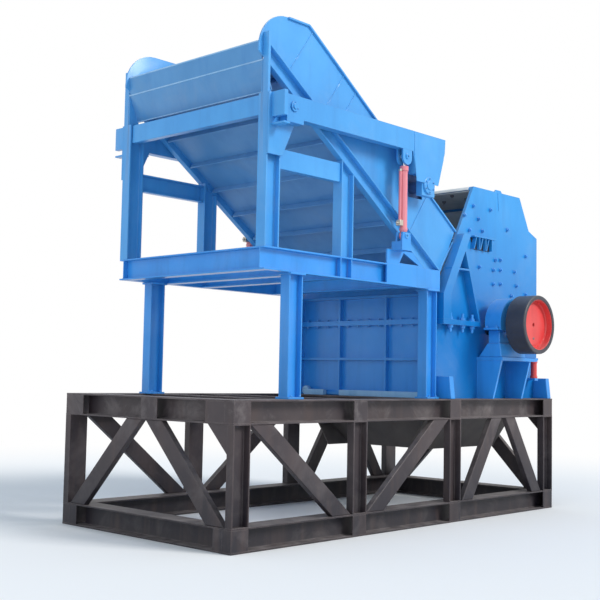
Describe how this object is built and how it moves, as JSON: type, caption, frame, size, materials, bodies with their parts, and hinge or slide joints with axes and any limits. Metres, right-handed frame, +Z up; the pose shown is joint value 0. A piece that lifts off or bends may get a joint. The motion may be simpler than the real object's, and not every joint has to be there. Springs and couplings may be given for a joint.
{
  "type": "scrap metal hammer mill",
  "caption": "Fixed hammer mill on a braced steel base, fed by an inclined trough with a press roller on lift arms.",
  "frame": {"origin": "centre of the base frame's underside, at floor level", "axes": "+X from the feed end to the crusher end, +Y across to the far side, +Z up"},
  "size_m": [5.66, 3.6, 5.26],
  "materials": {
    "base_paint": "satin",
    "blue_paint": "satin",
    "red_paint": "satin",
    "wheel_black": "satin",
    "hopper_steel": "matte",
    "bright_steel": "satin",
    "worn_steel": "matte"
  },
  "bodies": {
    "base": {"base_long_beams": "base_paint", "base_end_beams": "base_paint", "base_cross_beams": "base_paint", "base_posts": "base_paint", "base_side_braces": "base_paint", "base_end_braces": "base_paint", "base_gussets": "base_paint", "hopper_side_plates": "hopper_steel", "hopper_end_plates": "hopper_steel", "feeder_legs": "blue_paint", "platform_side_beams": "blue_paint", "platform_cross_beams": "blue_paint", "feeder_front_posts": "blue_paint", "feeder_mid_posts": "blue_paint", "feeder_side_rails": "blue_paint", "feeder_front_beam": "blue_paint", "trough_end_panel": "blue_paint", "trough_stringers": "blue_paint", "trough_floor": "blue_paint", "trough_floor_ribs": "blue_paint", "trough_cheeks": "blue_paint", "arm_pivot_brackets": "blue_paint", "arm_pivot_pins": "bright_steel", "lift_brackets": "blue_paint", "lift_barrels": "red_paint", "crusher_lower_sides": "blue_paint", "crusher_upper_sides": "blue_paint", "crusher_front_wall": "blue_paint", "crusher_front_ribs": "blue_paint", "crusher_rear_wall": "blue_paint", "crusher_rear_ribs": "blue_paint", "crusher_hood": "blue_paint", "crusher_side_ribs": "blue_paint", "crusher_feet": "blue_paint", "bearing_shelves": "blue_paint", "bearing_blocks": "blue_paint", "bearing_covers": "blue_paint", "service_cylinders": "red_paint", "service_mounts": "blue_paint", "crusher_front_bar": "blue_paint"},
    "press_arms": {"press_arms": "blue_paint"},
    "press_roller": {"press_roller": "blue_paint"},
    "lift_rod_near": {"lift_rod_near": "bright_steel"},
    "lift_rod_far": {"lift_rod_far": "bright_steel"},
    "rotor": {"rotor_shaft": "bright_steel", "rotor_discs": "worn_steel", "rotor_hammers": "worn_steel", "wheel_rims": "wheel_black", "wheel_discs": "red_paint"}
  },
  "joints": [
    {"name": "arm_lift", "type": "hinge", "parent": "base", "child": "press_arms", "pos_m": [-2.065, 0, 4.285], "axis": [0, -1, 0], "range_deg": [0, 14]},
    {"name": "roller_spin", "type": "hinge", "parent": "press_arms", "child": "press_roller", "pos_m": [0.17, 0, 3.82], "axis": [0, 1, 0], "continuous": true},
    {"name": "near_rod_slide", "type": "slide", "parent": "base", "child": "lift_rod_near", "axis": [0, 0, 1], "range_m": [0, 0.45]},
    {"name": "far_rod_slide", "type": "slide", "parent": "base", "child": "lift_rod_far", "axis": [0, 0, 1], "range_m": [0, 0.45]},
    {"name": "rotor_spin", "type": "hinge", "parent": "base", "child": "rotor", "pos_m": [1.715, 0, 2.3], "axis": [0, 1, 0], "continuous": true}
  ],
  "couplings": [
    {"joint": "near_rod_slide", "follows": "arm_lift", "m_per_rad": 1.84},
    {"joint": "far_rod_slide", "follows": "arm_lift", "m_per_rad": 1.84}
  ]
}
